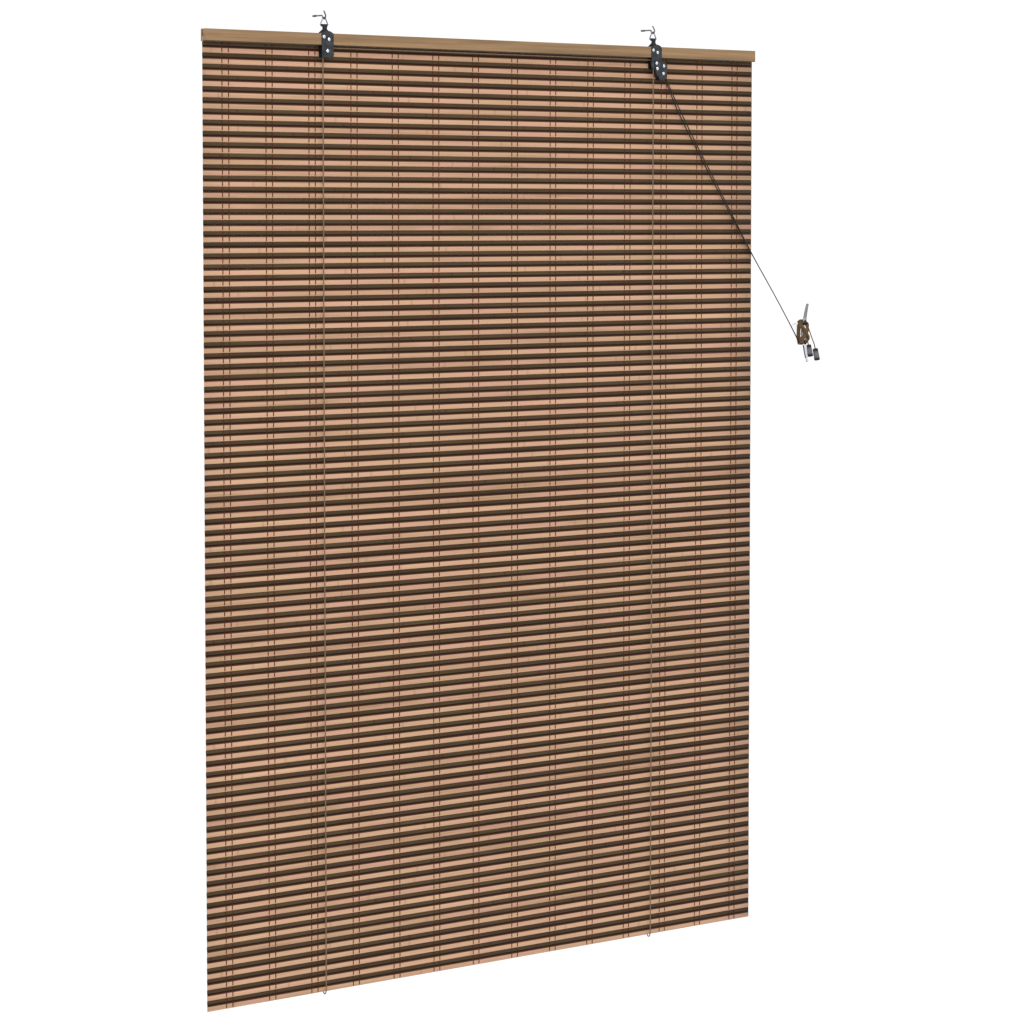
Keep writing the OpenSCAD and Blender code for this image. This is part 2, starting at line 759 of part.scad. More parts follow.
// Roller with ribs along it, which the cords run over
module lock_roller() {
  color(steel_bright) at_cheek(right_x, roller_place) difference() {
    along_y(lock_in_front, lock_in_back, roller_r);
    along_y(lock_in_front - 1, lock_in_back + 1, lock_pin_r + pin_room);
    for (i = [0 : roller_ribs - 1]) {
      rotate([0, 360 * i / roller_ribs, 0]) translate([roller_r, 0, 0])
        along_y(lock_in_front - 1, lock_in_back + 1, roller_rib_depth);
    }
  }
}

// Toothed lever that hangs from its pin and bites the cords on the roller
module lock_dog() {
  run = dog_edge_to - dog_edge_from;
  pitch = run / dog_teeth;
  back = unit([-run.y, run.x]) * dog_tooth;
  color(steel_dark) difference() {
    union() {
      translate([right_x, 0, rail_top_z])
        sheet_xz(lock_in_front, lock_in_back - lock_in_front) polygon(dog_outline);
      at_cheek(right_x, dog_place) along_y(lock_in_front, lock_in_back, dog_eye_r);
    }
    at_cheek(right_x, dog_place)
      along_y(lock_in_front - 1, lock_in_back + 1, lock_pin_r + pin_room);
    for (i = [0 : dog_teeth - 1]) {
      p = dog_edge_from + i * pitch;
      translate([right_x, 0, rail_top_z])
        sheet_xz(lock_in_front - 1, lock_in_back - lock_in_front + 2)
          polygon([p - back, p + pitch - back, p + pitch + back]);
    }
  }
}

module left_lift_cord() {
  color(cord_beige) cord(left_lift_route);
}
module right_lift_cord() {
  color(cord_beige) cord(right_lift_route);
}
module left_pull_cord() {
  color(cord_beige) cord(left_pull_route);
}
module right_pull_cord() {
  color(cord_beige) cord(right_pull_route);
}
module left_cord_tail() {
  color(cord_beige) cord(left_tail_route);
}
module right_cord_tail() {
  color(cord_beige) cord(right_tail_route);
}

// Wire staples that hold the ends of the lift cords on the batten
module at_staples() {
  for (route = [left_lift_route, right_lift_route]) {
    translate([route[0].x, 0, staple_z]) children();
  }
}
staple_bridge_y = left_lift_route[0].y + cord_r + touch_room + staple_r;
module staple_legs(r) {
  for (s = [-1, 1]) {
    translate([s * staple_half, 0, 0]) along_y(batten_back_y - staple_grip, staple_bridge_y, r);
  }
}
module cord_staples() {
  color(steel_bright) at_staples() {
    staple_legs(staple_r);
    bar([-staple_half, staple_bridge_y, 0], [staple_half, staple_bridge_y, 0], staple_r);
    for (s = [-1, 1]) {
      translate([s * staple_half, staple_bridge_y, 0]) sphere(staple_r);
    }
  }
}

// Outline with round ends, upright, w wide and h high
module stadium(w, h) {
  square([w, h - w], center = true);
  for (s = [-1, 1]) {
    translate([0, s * (h - w) / 2]) circle(w / 2);
  }
}

// Radius of a bow that leaves its middle by bend at the distance half
function bow_r(half, bend) = (half * half + bend * bend) / (2 * bend);

// Side profile of the two horns, in y and z: a crescent between two bows, with round tips
module horn_profile() {
  z_tip = horn_z - horn_tip_t / 2;
  back_r = bow_r(z_tip, horn_bend);
  front_bend = horn_bend + horn_tip_t - horn_root_t;
  front_r = bow_r(z_tip, front_bend);
  difference() {
    intersection() {
      translate([-post_reach - back_r, 0]) circle(back_r, $fn = 720);
      translate([-2 * post_reach, -z_tip]) square([2 * post_reach, 2 * z_tip]);
    }
    translate([-post_reach - horn_root_t - front_r, 0]) circle(front_r, $fn = 720);
  }
  for (s = [-1, 1]) {
    translate([-post_reach - horn_bend - horn_tip_t / 2, s * z_tip]) circle(horn_tip_t / 2);
  }
}

// Front outline of the horns, which narrow towards rounded tips
module horn_front() {
  root = horn_root_w / 2;
  tip = horn_tip_w / 2;
  z_end = horn_z - tip;
  polygon([[-root, 0], [-tip, z_end], [tip, z_end], [root, 0], [tip, -z_end], [-tip, -z_end]]);
  for (s = [-1, 1]) {
    translate([0, s * z_end]) circle(tip);
  }
}

// Wall cleat: flange and post with two screw holes, and two horns that bend out
module wall_cleat() {
  front = post_reach + horn_root_t + horn_bend + horn_tip_t;
  color(clear_plastic) translate([cleat_x, 0, cleat_z]) difference() {
    union() {
      sheet_xz(-flange_t, flange_t) stadium(cleat_w + 2 * flange_lip, post_h + 2 * flange_lip);
      sheet_xz(-post_reach - 1, post_reach + 1) stadium(cleat_w, post_h);
      intersection() {
        drawn_x(cleat_w) horn_profile();
        sheet_xz(-front, front) horn_front();
      }
    }
    for (s = [-1, 1]) {
      translate([0, 0, s * cleat_hole_gap / 2]) along_y(-front, 1, cleat_hole_r);
    }
  }
}

// The cords wound in a figure of eight: round the post behind the horns, and crossing in front of them
module cord_winding() {
  inner_w = cleat_w + 2 * soft_room;
  inner_h = post_h + 2 * soft_room;
  ring_front_y = winding_back_y - winding_depth;
  slot_w = horn_root_w + 2 * soft_room;
  color(cord_beige) translate([cleat_x, 0, cleat_z]) difference() {
    union() {
      sheet_xz(ring_front_y, winding_depth) stadium(inner_w + 2 * winding_wall, inner_h + 2 * winding_wall);
      translate([0, ring_front_y, 0]) rotate([90, 0, 0]) cylinder(
        h = ring_front_y - crossing_back_y + crossing_t,
        r1 = crossing_foot_r,
        r2 = crossing_front_r
      );
    }
    sheet_xz(-post_reach - 1 - soft_room, post_reach) stadium(inner_w, inner_h);
    translate([-slot_w / 2, crossing_back_y, -horn_z])
      cube([slot_w, ring_front_y - crossing_back_y, cleat_len]);
  }
}

// Tassel whose cord ends on the floor of the cup in its top, at the last point of the tail
module tassel(tail) {
  hollow = tassel_h * 0.25;
  wall = 1.2;
  cup_r = 2.6;
  round_edge = 0.8;
  color(black_plastic) translate(tail[len(tail) - 1]) rotate([0, -tassel_lean, 0])
    translate([0, 0, tassel_cup - tassel_h]) rotate_extrude() polygon([
      [0, hollow], [tassel_r - wall - 0.4, hollow], [tassel_r - wall, 0], [tassel_r - round_edge, 0],
      [tassel_r, round_edge], [tassel_top_r, tassel_h - round_edge], [tassel_top_r - round_edge, tassel_h],
      [cup_r + 0.4, tassel_h], [cup_r, tassel_h - 0.4], [cup_r, tassel_h - tassel_cup],
      [0, tassel_h - tassel_cup]
    ]);
}
module left_tassel() {
  tassel(left_tail_route);
}
module right_tassel() {
  tassel(right_tail_route);
}

headrail();
clamp_batten();
rail_nails();
light_slats();
dark_slats();
warp_threads();
left_screw_hook();
right_screw_hook();
left_ring();
right_ring();
left_hanger_plate();
left_front_cheek();
left_rail_rivets();
left_rivet_tubes();
left_axle();
left_sheave();
left_axle_tube();
right_hanger_plate();
right_front_cheek();
right_rail_rivets();
right_rivet_tubes();
right_axle();
right_sheave_front();
right_sheave_back();
lock_frame();
lock_tie_rivet();
lock_tie_tube();
lock_roller();
lock_roller_pin();
lock_dog();
lock_dog_pin();
left_lift_cord();
right_lift_cord();
left_pull_cord();
right_pull_cord();
cord_staples();
wall_cleat();
cord_winding();
left_cord_tail();
right_cord_tail();
left_tassel();
right_tassel();
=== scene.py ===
import json
import math
import random

import bpy
from mathutils import Euler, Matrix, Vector


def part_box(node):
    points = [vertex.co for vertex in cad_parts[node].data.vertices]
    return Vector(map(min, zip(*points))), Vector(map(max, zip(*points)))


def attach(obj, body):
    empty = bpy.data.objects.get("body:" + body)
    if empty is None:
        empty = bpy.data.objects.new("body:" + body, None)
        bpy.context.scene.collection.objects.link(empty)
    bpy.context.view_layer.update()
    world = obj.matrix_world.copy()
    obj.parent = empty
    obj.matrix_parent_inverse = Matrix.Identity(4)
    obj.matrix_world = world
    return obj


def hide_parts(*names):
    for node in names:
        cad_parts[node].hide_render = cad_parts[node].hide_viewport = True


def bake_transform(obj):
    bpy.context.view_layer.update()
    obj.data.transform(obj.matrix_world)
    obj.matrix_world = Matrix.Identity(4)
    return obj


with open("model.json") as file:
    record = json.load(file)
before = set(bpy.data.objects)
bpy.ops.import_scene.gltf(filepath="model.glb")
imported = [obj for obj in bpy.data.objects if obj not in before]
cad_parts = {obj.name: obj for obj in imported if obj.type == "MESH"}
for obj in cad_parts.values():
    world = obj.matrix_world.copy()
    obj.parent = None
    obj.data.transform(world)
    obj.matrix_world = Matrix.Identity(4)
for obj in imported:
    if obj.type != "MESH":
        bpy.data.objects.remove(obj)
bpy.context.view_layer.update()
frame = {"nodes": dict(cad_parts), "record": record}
rng = random.Random(11)
MM = 0.001


# Camera, world and lights, in metres and degrees

CAMERA_PLACE = (-3.6097, -4.5694, -0.3288)
CAMERA_YAW = 38.733
CAMERA_PITCH = -3.316
CAMERA_LENS = 118.24
CAMERA_SENSOR = 36
CAMERA_SHIFT_Y = -0.1
CAMERA_NEAR, CAMERA_FAR = 0.05, 100
WORLD_STRENGTH = 1.05
WHITE = (1, 1, 1)
WARM_WHITE = (1.0, 0.97, 0.93)
# Name, place, aim, size, watts and tint of each light
LIGHTS = (
    ("key", (-2.6, -3.4, 1.9), (0, 0, -0.7), 1.6, 60, WARM_WHITE),
    ("top", (0.6, -1.6, 2.6), (0, 0, -0.6), 1.2, 20, WHITE),
    ("front", (-3.0, -3.1, -1.0), (0.75, 0, -0.58), 0.6, 10, WHITE),
)


def make_camera():
    data = bpy.data.cameras.new("camera")
    data.sensor_width = CAMERA_SENSOR
    data.lens = CAMERA_LENS
    data.shift_y = CAMERA_SHIFT_Y
    data.clip_start, data.clip_end = CAMERA_NEAR, CAMERA_FAR
    camera = bpy.data.objects.new("camera", data)
    bpy.context.collection.objects.link(camera)
    camera.location = CAMERA_PLACE
    camera.rotation_euler = Euler((math.radians(90 + CAMERA_PITCH), 0, math.radians(-CAMERA_YAW)))
    bpy.context.scene.camera = camera


def make_world():
    world = bpy.data.worlds.new("studio")
    world.use_nodes = True
    background = world.node_tree.nodes["Background"]
    background.inputs["Color"].default_value = (*WHITE, 1)
    background.inputs["Strength"].default_value = WORLD_STRENGTH
    bpy.context.scene.world = world


def make_light(name, place, aim, size, watts, tint):
    data = bpy.data.lights.new(name, "AREA")
    data.shape = "DISK"
    data.size = size
    data.energy = watts
    data.color = tint
    light = bpy.data.objects.new(name, data)
    bpy.context.collection.objects.link(light)
    light.location = place
    light.rotation_euler = (Vector(aim) - Vector(place)).to_track_quat("-Z", "Y").to_euler()


make_camera()
make_world()
for row in LIGHTS:
    make_light(*row)
bpy.context.scene.view_settings.view_transform = "Standard"


# Helpers for colours, node graphs and meshes

Y_AXIS, Z_AXIS = 1, 2


def srgb(r, g, b):
    """A linear colour from 0 to 255 display values."""
    def linear(c):
        c /= 255
        return c / 12.92 if c <= 0.04045 else ((c + 0.055) / 1.055) ** 2.4
    return (linear(r), linear(g), linear(b), 1)


class Graph:
    """A material's node graph, with its shader at hand."""

    def __init__(self, name):
        self.material = bpy.data.materials.new(name)
        self.material.use_nodes = True
        self.tree = self.material.node_tree
        self.shader = self.tree.nodes["Principled BSDF"]

    def node(self, kind, inputs=None, **settings):
        made = self.tree.nodes.new("ShaderNode" + kind)
        for key, value in settings.items():
            setattr(made, key, value)
        for key, value in (inputs or {}).items():
            self.feed(made.inputs[key], value)
        return made

    def feed(self, socket, value):
        """Link the socket to another one, or give it a constant."""
        if isinstance(value, bpy.types.NodeSocket):
            self.tree.links.new(value, socket)
        else:
            socket.default_value = value

    def set(self, name, value):
        self.feed(self.shader.inputs[name], value)

    def math(self, operation, a, b=0.0, clamp=False):
        return self.node("Math", {0: a, 1: b}, operation=operation, use_clamp=clamp).outputs[0]

    def scaled(self, value, factor, plus):
        return self.math("ADD", self.math("MULTIPLY", value, factor), plus)

    def over(self, value, start, gain):
        """How far the value is over start, times gain, held from 0 to 1."""
        return self.math("MULTIPLY", self.math("SUBTRACT", value, start), gain, clamp=True)

    def spread(self, value, low, high, to_low=0.0, to_high=1.0):
        """The range from low to high, mapped to that from to_low to to_high and held there."""
        inputs = {0: value, 1: low, 2: high, 3: to_low, 4: to_high}
        return self.node("MapRange", inputs).outputs[0]

    def mix(self, share, a, b):
        """A colour between a and b. Sockets 6, 7 and 2 are the node's colour ones."""
        return self.node("Mix", {0: share, 6: a, 7: b}, data_type="RGBA").outputs[2]

    def ramp(self, value, *stops):
        made = self.node("ValToRGB", {0: value})
        ramp = made.color_ramp
        while len(ramp.elements) < len(stops):
            ramp.elements.new(0.5)
        for element, (place, colour) in zip(ramp.elements, stops):
            element.position = place
            element.color = colour
        return made.outputs[0]

    def place(self, kind="Object"):
        return self.node("TexCoord").outputs[kind]

    def uv(self):
        return self.node("UVMap").outputs[0]

    def axes(self, vector):
        return self.node("SeparateXYZ", {0: vector}).outputs

    def mapped(self, vector, scale, shift=(0, 0, 0)):
        inputs = {"Vector": vector, "Scale": scale, "Location": shift}
        return self.node("Mapping", inputs).outputs[0]

    def stretched(self, scale, shift=(0, 0, 0)):
        return self.mapped(self.place(), scale, shift)

    def noise(self, vector, detail, rough=0.55):
        inputs = {"Vector": vector, "Scale": 1.0, "Detail": detail, "Roughness": rough}
        return self.node("TexNoise", inputs).outputs[0]

    def roughness(self, noise, spread, least):
        self.set("Roughness", self.scaled(noise, spread, least))

    def bump(self, height, strength, distance):
        inputs = {"Height": height, "Strength": strength, "Distance": distance}
        self.set("Normal", self.node("Bump", inputs).outputs[0])


def new_piece(name, points, faces, material, smooth=True):
    mesh = bpy.data.meshes.new(name)
    mesh.from_pydata(points, [], faces)
    mesh.polygons.foreach_set("use_smooth", [smooth] * len(mesh.polygons))
    mesh.materials.append(material)
    piece = bpy.data.objects.new(name, mesh)
    bpy.context.collection.objects.link(piece)
    return piece


# Materials

# Bamboo: noise scales along X, Y and Z, and the share that each noise and the slat's tone have
GRAIN_SCALE, CLOUD_SCALE, PATCH_SCALE = (5, 500, 900), (4, 30, 40), (11, 20, 60)
GRAIN_SHARE, CLOUD_SHARE, TONE_SHARE, PATCH_SHARE = 0.5, 0.25, 0.14, 0.55
PATCH_FROM, PATCH_GAIN = 0.45, 4.0
GRAIN_SHIFT = 40.0
NODES_PER_METRE, NODE_GAIN, NODE_RELIEF = 2.6, 110.0, 0.6
EDGE_GAIN = 9.0
# Headrail: where the shade painted along its lower arris fades out and where it is full
RAIL_FOOT_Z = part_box("headrail")[0].z
RAIL_SHADE_OUT_Z, RAIL_SHADE_FULL_Z = RAIL_FOOT_Z + 1.5 * MM, RAIL_FOOT_Z + 0.8 * MM
# Cord: share of its strands and fuzz, and the share of colour kept where its run is painted dark as
# shade, and that shade's fade along v
STRAND_SHARE, FUZZ_SHARE = 0.7, 0.3
SHADED_RUN_SHARE, SHADED_RUN_FADE = 0.2, 6
SCRATCH_FROM, SCRATCH_GAIN = 0.58, 4.0
# Cleat: heights between which each horn is painted grey as shade
UPPER_SHADE_Z, LOWER_SHADE_Z = (-0.545, -0.515), (-0.562, -0.578)
SHADE_WANDER = 0.3
CLEAT_IOR = 1.18
TASSEL_WEAR = 0.3


def bamboo(name, pale, middle, deep, blush, edge_stain_and_shade, edge_at, edge_reach, node_dark,
           roughness, gloss):
    """Bamboo with fine grain along X, patches, growth nodes and a dark edge that is partly stain
    and partly painted shade where the slats meet.

    The slat meshes carry a colour attribute: red is the slat's tone, green shifts the grain and
    blue places the growth nodes. UV's v runs up the slat, and the dark edge lies at v = edge_at.
    """
    g = Graph(name)
    attribute = g.node("Attribute", attribute_name="tone").outputs["Color"]
    tone, shift, start = g.node("SeparateColor", {0: attribute}).outputs
    x, y, z = g.axes(g.place())
    shifted_x = g.math("ADD", x, g.math("MULTIPLY", shift, GRAIN_SHIFT))
    along = g.node("CombineXYZ", {0: shifted_x, 1: y, 2: z}).outputs[0]
    grain = g.noise(g.mapped(along, GRAIN_SCALE), 6.0, 0.62)
    cloud = g.noise(g.mapped(along, CLOUD_SCALE), 3.0)
    mixed = g.scaled(grain, GRAIN_SHARE, g.math("MULTIPLY", cloud, CLOUD_SHARE))
    mixed = g.scaled(tone, TONE_SHARE, mixed)
    colour = g.ramp(mixed, (0.28, deep), (0.45, middle), (0.62, pale))
    patch = g.over(g.noise(g.mapped(along, PATCH_SCALE), 2.0), PATCH_FROM, PATCH_GAIN)
    colour = g.mix(g.math("MULTIPLY", patch, PATCH_SHARE), colour, blush)
    phase = g.math("FRACT", g.scaled(x, NODES_PER_METRE, start))
    off_node = g.math("ABSOLUTE", g.math("SUBTRACT", phase, 0.5))
    band = g.math("SUBTRACT", 1.0, g.math("MULTIPLY", off_node, NODE_GAIN), clamp=True)
    colour = g.mix(g.math("MULTIPLY", band, node_dark), colour, deep)
    # The dark band at v = edge_at is partly stain and partly painted shade where one slat meets the
    # next
    from_edge = g.math("ABSOLUTE", g.math("SUBTRACT", g.axes(g.uv())[Y_AXIS], edge_at))
    edge = g.over(edge_reach, from_edge, EDGE_GAIN)
    g.set("Base Color", g.mix(edge, colour, edge_stain_and_shade))
    g.roughness(grain, spread=0.25, least=roughness)
    g.bump(g.scaled(band, NODE_RELIEF, grain), strength=0.35, distance=0.0004)
    g.set("Specular IOR Level", gloss)
    return g.material


def headrail_wood():
    """Stained softwood, with shade painted dark brown along its lower arris."""
    g = Graph("headrail_wood")
    fine = g.noise(g.stretched((7, 300, 300)), 7.0, 0.65)
    broad = g.noise(g.stretched((2.2, 60, 90), (3, 0, 0)), 4.0)
    mixed = g.scaled(fine, 0.55, g.math("MULTIPLY", broad, 0.5))
    colour = g.ramp(
        mixed, (0.34, srgb(98, 72, 44)), (0.52, srgb(130, 101, 67)), (0.72, srgb(150, 120, 84)))
    # Painted shade: dark brown along the rail's foot, standing in for the shadow under the rail
    rail_shade = g.spread(g.axes(g.place())[Z_AXIS], RAIL_SHADE_OUT_Z, RAIL_SHADE_FULL_Z)
    g.set("Base Color", g.mix(rail_shade, colour, srgb(40, 27, 15)))
    g.roughness(fine, spread=0.3, least=0.32)
    g.bump(fine, strength=0.25, distance=0.0005)
    return g.material


def braided(name, pale, deep, twist=3.0, sheen=0.3, shaded_to=None):
    """Cord of two crossing sets of strands, drawn in UV: u round the cord and v along it.

    It is painted darker as shade along its run, up to the v given in its last argument.
    """
    g = Graph(name)
    round_cord, along_cord, _ = g.axes(g.uv())
    u = g.math("MULTIPLY", round_cord, twist * 2 * math.pi)
    v = g.math("MULTIPLY", along_cord, twist * 2 * math.pi)
    right = g.math("SINE", g.math("ADD", u, v))
    left = g.math("SINE", g.math("SUBTRACT", u, v))
    strands = g.math("MULTIPLY", g.scaled(right, left, 1.0), 0.5)
    fuzz = g.noise(g.stretched((900, 900, 900)), 3.0)
    share = g.scaled(strands, STRAND_SHARE, g.math("MULTIPLY", fuzz, FUZZ_SHARE))
    colour = g.ramp(share, (0.15, deep), (0.7, pale))
    # Painted shade: the run up to that v is mixed towards near black
    if shaded_to:
        unshaded = g.spread(along_cord, shaded_to, shaded_to + SHADED_RUN_FADE, SHADED_RUN_SHARE)
        colour = g.mix(unshaded, srgb(14, 10, 6), colour)
    g.set("Base Color", colour)
    g.set("Roughness", 0.85)
    g.set("Specular IOR Level", 0.1)
    g.set("Sheen Weight", sheen)
    g.bump(share, strength=0.6, distance=0.0003)
    return g.material


def dark_steel(name, deep, middle, pale):
    """Blackened pressed steel, with cloudy oxide and fine rubbed scratches."""
    g = Graph(name)
    cloud = g.noise(g.stretched((120, 120, 120)), 5.0)
    rubbed = g.noise(g.stretched((900, 900, 160)), 4.0, 0.7)
    colour = g.ramp(cloud, (0.3, deep), (0.55, middle), (0.75, pale))
    scratch = g.over(rubbed, SCRATCH_FROM, SCRATCH_GAIN)
    g.set("Base Color", g.mix(scratch, colour, srgb(138, 138, 138)))
    g.set("Metallic", 0.75)
    g.roughness(cloud, spread=0.25, least=0.34)
    g.bump(g.math("ADD", cloud, rubbed), strength=0.15, distance=0.0003)
    return g.material


def bright_steel():
    """Zinc plated steel with slight spangle and draw marks."""
    g = Graph("bright_steel")
    spangle = g.noise(g.stretched((400, 400, 400)), 3.0)
    marks = g.noise(g.stretched((1500, 200, 1500)), 2.0)
    g.set("Base Color", g.ramp(spangle, (0.3, srgb(186, 188, 190)), (0.7, srgb(226, 227, 228))))
    g.set("Metallic", 1.0)
    g.roughness(marks, spread=0.18, least=0.16)
    g.bump(marks, strength=0.1, distance=0.0002)
    return g.material


def wire_steel(name, deep, pale):
    """Drawn wire, darker than the plated parts."""
    g = Graph(name)
    marks = g.noise(g.stretched((700, 700, 700)), 4.0)
    g.set("Base Color", g.ramp(marks, (0.3, deep), (0.7, pale)))
    g.set("Metallic", 1.0)
    g.roughness(marks, spread=0.2, least=0.2)
    g.bump(marks, strength=0.1, distance=0.0002)
    return g.material


def clear_plastic():
    """Clear plastic with grey shade painted towards the upper horn and, less so, towards the lower
    one.
    """
    g = Graph("clear_plastic")
    flow = g.noise(g.stretched((60, 60, 25)), 2.0)
    z = g.axes(g.place())[Z_AXIS]
    # Painted shade: a darker grey up the upper horn, wandering with the flow noise, and a lighter
    # grey down the lower one
    wander = g.math("MULTIPLY", g.math("SUBTRACT", flow, 0.5), SHADE_WANDER)
    upper = g.math("ADD", g.spread(z, *UPPER_SHADE_Z), wander)
    colour = g.ramp(upper, (0.2, srgb(251, 253, 253)), (0.9, srgb(136, 138, 140)))
    lower = g.spread(z, *LOWER_SHADE_Z)
    g.set("Base Color", g.mix(lower, colour, srgb(212, 214, 222)))
    g.roughness(flow, spread=0.1, least=0.02)
    g.set("Transmission Weight", 1.0)
    g.set("IOR", CLEAT_IOR)
    return g.material


def black_plastic():
    """Glossy black plastic, with a grey highlight painted round the middle of its height."""
    g = Graph("black_plastic")
    grain = g.noise(g.stretched((1200, 1200, 1200)), 3.0)
    height = g.axes(g.place("Generated"))[Z_AXIS]
    black, highlight_grey = srgb(10, 10, 11), srgb(110, 104, 112)
    # Painted highlight: a grey band round the middle of the height, black at the rims
    highlight_bands = g.ramp(height, (0.16, black), (0.34, highlight_grey), (0.66, highlight_grey), (0.84, black))
    g.set("Base Color", g.mix(g.math("MULTIPLY", grain, TASSEL_WEAR), highlight_bands, black))
    g.roughness(grain, spread=0.15, least=0.16)
    g.set("Specular IOR Level", 0.25)
    g.bump(grain, strength=0.12, distance=0.0003)
    return g.material


def floor_paint():
    """Near white paint with hardly visible clouds."""
    g = Graph("floor_paint")
    cloud = g.noise(g.stretched((0.7, 0.7, 0.7)), 2.0)
    g.set("Base Color", g.ramp(cloud, (0.3, srgb(252, 252, 252)), (0.7, srgb(255, 255, 255))))
    g.set("Roughness", 0.9)
    return g.material


# Each slat's edge colour is partly stain and partly painted shade where a light slat meets a dark
# one
LIGHT_BAMBOO = bamboo(
    "light_bamboo", pale=srgb(198, 159, 127), middle=srgb(178, 143, 114), deep=srgb(149, 114, 87),
    blush=srgb(190, 142, 126), edge_stain_and_shade=srgb(62, 30, 10), edge_at=1.0, edge_reach=0.27,
    node_dark=0.5, roughness=0.45, gloss=0.2)
DARK_BAMBOO = bamboo(
    "dark_bamboo", pale=srgb(84, 70, 49), middle=srgb(70, 56, 37), deep=srgb(50, 37, 22),
    blush=srgb(64, 49, 40), edge_stain_and_shade=srgb(32, 15, 3), edge_at=0.0, edge_reach=0.34,
    node_dark=0.6, roughness=0.5, gloss=0.1)
HEADRAIL = headrail_wood()
LIFT_CORD = braided("lift_cord", srgb(130, 105, 78), srgb(68, 51, 36))
# The pull cord is the same cord as the lift cord, painted darker as shade, and darker still along
# its run
PULL_CORD = braided("pull_cord", srgb(112, 88, 62), srgb(50, 36, 24), sheen=0.1, shaded_to=97)
THREAD = braided("warp_thread", srgb(88, 46, 27), srgb(50, 23, 12), twist=2.0, sheen=0.0)
DARK_STEEL = dark_steel("dark_steel", srgb(28, 29, 31), srgb(42, 44, 47), srgb(62, 64, 68))
GREY_STEEL = dark_steel("grey_steel", srgb(40, 43, 46), srgb(54, 58, 62), srgb(72, 76, 81))
BRIGHT_STEEL = bright_steel()
HOOK_STEEL = wire_steel("hook_steel", srgb(70, 72, 76), srgb(122, 124, 128))
RING_STEEL = wire_steel("ring_steel", srgb(104, 104, 114), srgb(154, 154, 164))
CLEAR_PLASTIC = clear_plastic()
BLACK_PLASTIC = black_plastic()


# Floor

FLOOR_Z = -2.1
FLOOR_HALF = 30


def make_floor():
    signs = ((-1, -1), (1, -1), (1, 1), (-1, 1))
    corners = [(x * FLOOR_HALF, y * FLOOR_HALF, FLOOR_Z) for x, y in signs]
    face = (0, 1, 2, 3)
    floor = new_piece("floor", corners, [face], floor_paint(), smooth=False)


make_floor()


# Cords, first as routes in millimetres and then as braided tubes in metres

CORD_R = 1.0 * MM
CORD_SIDES = 10
CORNER_CUT = 0.25
# Where a tube's first point on the ring lies: any way off its path, or across it if it is flat
ROUND_START, FLAT_START = Vector((1, 0.3, 0.2)), Vector((1, 0, 0))

LEFT_LIFT = [
    (-365.5, -16, -40), (-365.5, -16, -54), (-365.5, -18, -1600), (-365.5, -18, -1626),
    (-365.5, -18.6, -1630), (-365.5, -20.2, -1633), (-365.5, -22.4, -1634),
    (-365.5, -24.6, -1633), (-365.5, -26.2, -1630), (-365.5, -27, -1626), (-365.5, -27.2, -1600),
    (-365.5, -26.1, -90), (-365.5, -26.1, -59), (-365.1, -26.1, -56.9), (-363.9, -26.1, -55.1),
    (-362.1, -26.1, -53.9), (-360, -26.1, -53.5), (-350, -26.1, -53.5), (350, -26.1, -53.5),
    (360, -26.1, -53.5), (362.1, -26.1, -53.9), (363.6, -26.1, -54.9), (364.4, -26.1, -55.7),
    (372, -26.1, -65.7), (378.9, -26.1, -74.8), (379.4, -26.1, -75.6), (384, -26.1, -84),
]
RIGHT_LIFT = [
    (354.5, -16, -40), (354.5, -16, -54), (354.5, -18, -1600), (354.5, -18, -1626),
    (354.5, -18.6, -1630), (354.5, -20.2, -1633), (354.5, -22.4, -1634),
    (354.5, -24.6, -1633), (354.5, -26.2, -1630), (354.5, -27, -1626), (354.5, -27.2, -1600),
    (354.5, -29.7, -90), (354.5, -29.7, -59), (354.9, -29.7, -56.9), (356.1, -29.7, -55.1),
    (357.9, -29.7, -53.9), (360, -29.7, -53.5), (362.1, -29.7, -53.9), (363.6, -29.7, -54.9),
    (364.4, -29.7, -55.7), (372, -29.7, -65.7), (378.9, -29.7, -74.8), (379.4, -29.7, -75.6),
    (384, -29.7, -84),
]
LEFT_PULL = [
    (384, -26.1, -84), (389.5, -26.1, -94), (404, -26, -121), (418, -25.9, -146.5),
    (470, -25.6, -222), (530, -25.3, -306), (599, -24.9, -400.5), (658, -22.8, -475),
    (701, -21, -532.5), (714.6, -20.5, -551.8), (720.2, -20.4, -560.8),
]
RIGHT_PULL = [
    (384, -29.7, -84), (389.5, -29.7, -94), (406, -29.5, -121.5), (422, -29.3, -147),
    (470, -28.7, -218), (530, -28, -303), (597, -27, -400.5), (656, -25, -475),
    (699, -23.2, -532.5), (713, -22.7, -551.8), (720.4, -22.6, -562.2),
]
LEFT_TAIL = [
    (740, -20.4, -531.6), (742.8, -20.5, -534.6), (745, -20.8, -541), (745.2, -21.2, -548.5),
    (744.8, -21.6, -556), (745.2, -21.9, -564), (746.2, -22, -569), (747.5, -22, -574.2),
]
RIGHT_TAIL = [
    (740, -22.6, -531.6), (743, -22.8, -534.6), (746, -23.4, -540.6), (749, -24.2, -548.4),
    (753, -25.4, -559.5), (757, -26.8, -569), (758.7, -27, -574.9), (760.3, -27, -581.3),
]


def metres(route):
    return [Vector(p) * MM for p in route]


def eased(points, times):
    """The same route with its corners cut, so that it turns smoothly and never overshoots."""
    for _ in range(times):
        cut = [points[0]]
        for a, b in zip(points, points[1:]):
            cut += [a.lerp(b, CORNER_CUT), a.lerp(b, 1 - CORNER_CUT)]
        points = cut + [points[-1]]
    return points


